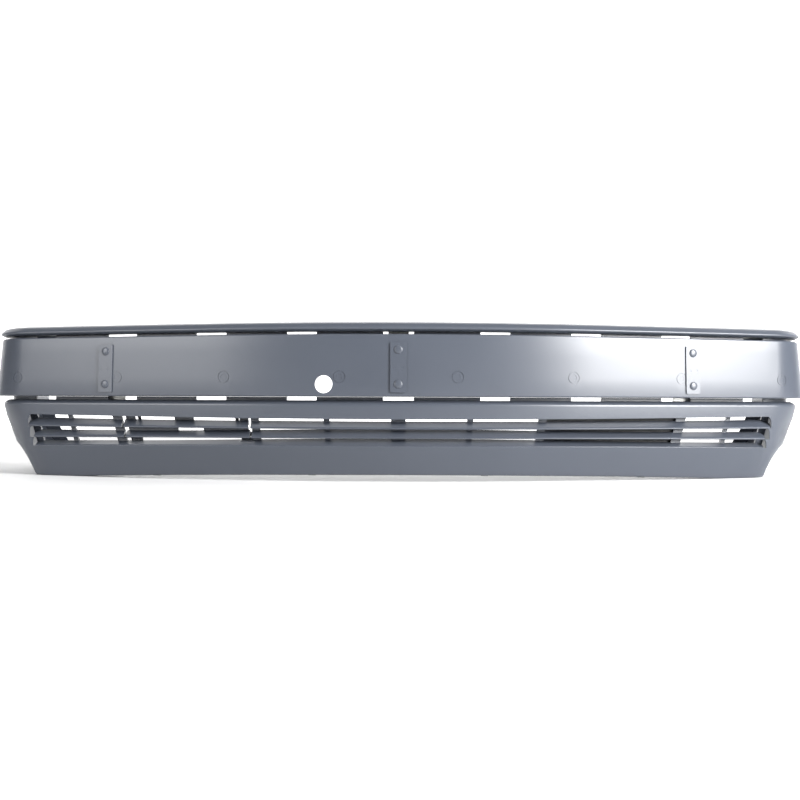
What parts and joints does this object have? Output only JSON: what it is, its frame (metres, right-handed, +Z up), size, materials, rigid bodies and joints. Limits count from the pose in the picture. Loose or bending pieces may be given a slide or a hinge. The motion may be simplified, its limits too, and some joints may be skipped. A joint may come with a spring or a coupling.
{
  "type": "front bumper cover",
  "caption": "Front bumper cover with an upper lip, a flat centre band, a louvred lower valance and a tip-out flap over the towing eye.",
  "frame": {"origin": "on the ground under the middle of the cover's bounding box, with the cover standing on its bottom edge", "axes": "+Z up, -Y out of the visible side (forwards on the car), +X to the right when looking at the visible side"},
  "size_m": [1.79, 0.5668, 0.321],
  "materials": {
    "primed_plastic": "satin grey primer",
    "black_plastic": "matt, moulded black",
    "zinc_steel": "dull zinc plating",
    "spring_steel": "dark phosphate"
  },
  "bodies": {
    "cover": {"upper_lip": "primed_plastic", "centre_band": "primed_plastic", "lower_valance": "primed_plastic", "flap_hinge_pin_outer": "zinc_steel", "flap_hinge_pin_inner": "zinc_steel", "flap_clip_outer": "black_plastic", "flap_clip_inner": "black_plastic", "mounting_pad_left": "primed_plastic", "pad_rivet_left_upper": "primed_plastic", "pad_rivet_left_lower": "primed_plastic", "holder_bracket_left": "zinc_steel", "mounting_pad_centre": "primed_plastic", "pad_rivet_centre_upper": "primed_plastic", "pad_rivet_centre_lower": "primed_plastic", "holder_bracket_centre": "zinc_steel", "mounting_pad_right": "primed_plastic", "pad_rivet_right_upper": "primed_plastic", "pad_rivet_right_lower": "primed_plastic", "holder_bracket_right": "zinc_steel", "louvre_blanking_panel": "black_plastic", "blanking_screw_1": "zinc_steel", "blanking_screw_2": "zinc_steel", "blanking_screw_3": "zinc_steel", "blanking_screw_4": "zinc_steel", "side_guide_left": "zinc_steel", "side_guide_right": "zinc_steel", "guide_rivet_1": "zinc_steel", "guide_rivet_2": "zinc_steel", "guide_rivet_3": "zinc_steel", "guide_rivet_4": "zinc_steel", "undertray_nut_1": "spring_steel", "undertray_nut_2": "spring_steel", "undertray_nut_3": "spring_steel", "undertray_nut_4": "spring_steel"},
    "flap": {"tow_eye_flap": "primed_plastic"}
  },
  "joints": [
    {"name": "tow_flap_hinge", "type": "hinge", "parent": "cover", "child": "flap", "pos_m": [-0.43127, -0.19027, 0.08917], "axis": [0.9644, -0.2642, 0.0092], "range_deg": [0, 75]}
  ]
}
